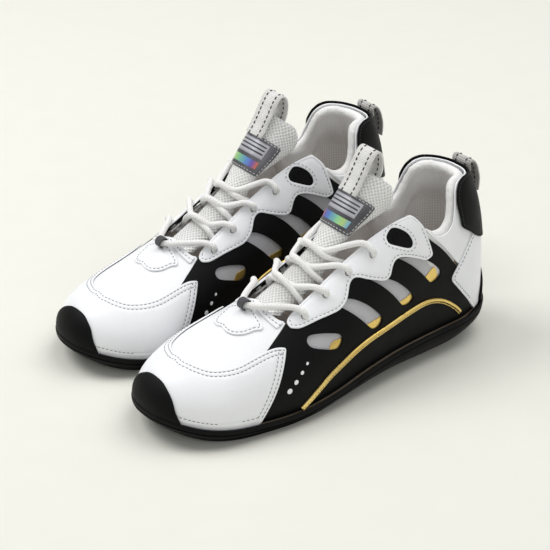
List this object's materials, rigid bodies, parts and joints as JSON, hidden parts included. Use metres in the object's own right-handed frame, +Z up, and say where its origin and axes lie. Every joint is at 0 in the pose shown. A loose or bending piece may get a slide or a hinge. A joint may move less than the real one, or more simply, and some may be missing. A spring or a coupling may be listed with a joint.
{
  "type": "pair of sport shoes",
  "caption": "Pair of chunky low-cut lace-up sport shoes with layered uppers, windowed side panels, padded collars and tongues, and webbing pull loops.",
  "frame": {"origin": "On the floor, under the middle of the pair's bounding box.", "axes": "+X from the right shoe to the left shoe, the wearer's left; toes point to -Y; +Z is up, out of the ankle openings."},
  "size_m": [0.204, 0.2774, 0.1509],
  "materials": {
    "rubber": "matt black rubber",
    "foam": "closed-cell foam",
    "board": "fibre board",
    "footbed": "knitted top cloth on foam",
    "stiffener": "thermoplastic sheet",
    "lining": "knitted textile",
    "white_upper": "smooth coated synthetic leather",
    "black_upper": "smooth coated synthetic leather",
    "grey_backing": "grey coated textile",
    "gold": "satin gold foil",
    "grey_webbing": "ribbed webbing",
    "mesh": "padded air mesh",
    "label": "moulded label with a printed panel",
    "white_webbing": "ribbed webbing",
    "lace": "round braided lace",
    "keeper": "woven tape"
  },
  "bodies": {
    "left_shoe": {"left_outsole": "rubber", "left_midsole": "foam", "left_insole_board": "board", "left_footbed": "footbed", "left_heel_counter": "stiffener", "left_lining": "lining", "left_collar_foam": "foam", "left_vamp": "white_upper", "left_toe_cap": "white_upper", "left_lateral_panel": "black_upper", "left_medial_panel": "black_upper", "left_lateral_backing": "grey_backing", "left_medial_backing": "grey_backing", "left_lateral_foil": "gold", "left_medial_foil": "gold", "left_lateral_piping": "gold", "left_medial_piping": "gold", "left_lateral_eyestay": "white_upper", "left_medial_eyestay": "white_upper", "left_ankle_panel": "white_upper", "left_heel_panel": "white_upper", "left_heel_strip": "black_upper", "left_heel_loop": "grey_webbing", "left_lace": "lace", "left_lace_keeper": "keeper", "left_throat_patch": "white_upper", "left_throat_trim": "white_upper"},
    "left_tongue_body": {"left_tongue": "mesh", "left_tongue_label": "label", "left_tongue_loop": "white_webbing"},
    "right_shoe": {"right_outsole": "rubber", "right_midsole": "foam", "right_insole_board": "board", "right_footbed": "footbed", "right_heel_counter": "stiffener", "right_lining": "lining", "right_collar_foam": "foam", "right_vamp": "white_upper", "right_toe_cap": "white_upper", "right_lateral_panel": "black_upper", "right_medial_panel": "black_upper", "right_lateral_backing": "grey_backing", "right_medial_backing": "grey_backing", "right_lateral_foil": "gold", "right_medial_foil": "gold", "right_lateral_piping": "gold", "right_medial_piping": "gold", "right_lateral_eyestay": "white_upper", "right_medial_eyestay": "white_upper", "right_ankle_panel": "white_upper", "right_heel_panel": "white_upper", "right_heel_strip": "black_upper", "right_heel_loop": "grey_webbing", "right_lace": "lace", "right_lace_keeper": "keeper", "right_throat_patch": "white_upper", "right_throat_trim": "white_upper"},
    "right_tongue_body": {"right_tongue": "mesh", "right_tongue_label": "label", "right_tongue_loop": "white_webbing"}
  },
  "joints": [
    {"name": "right_shoe_lift", "type": "slide", "parent": "left_shoe", "child": "right_shoe", "axis": [0, 0, 1], "range_m": [0, 0.15]},
    {"name": "left_tongue_hinge", "type": "hinge", "parent": "left_shoe", "child": "left_tongue_body", "pos_m": [0.0537, -0.05795, 0.0575], "axis": [1, 0, 0], "range_deg": [-4, 0], "stiffness_Nm_per_rad": 0.6, "springref_deg": 6.88},
    {"name": "right_tongue_hinge", "type": "hinge", "parent": "right_shoe", "child": "right_tongue_body", "pos_m": [-0.0537, -0.05205, 0.0575], "axis": [1, 0, 0], "range_deg": [-4, 0], "stiffness_Nm_per_rad": 0.6, "springref_deg": 6.88}
  ]
}
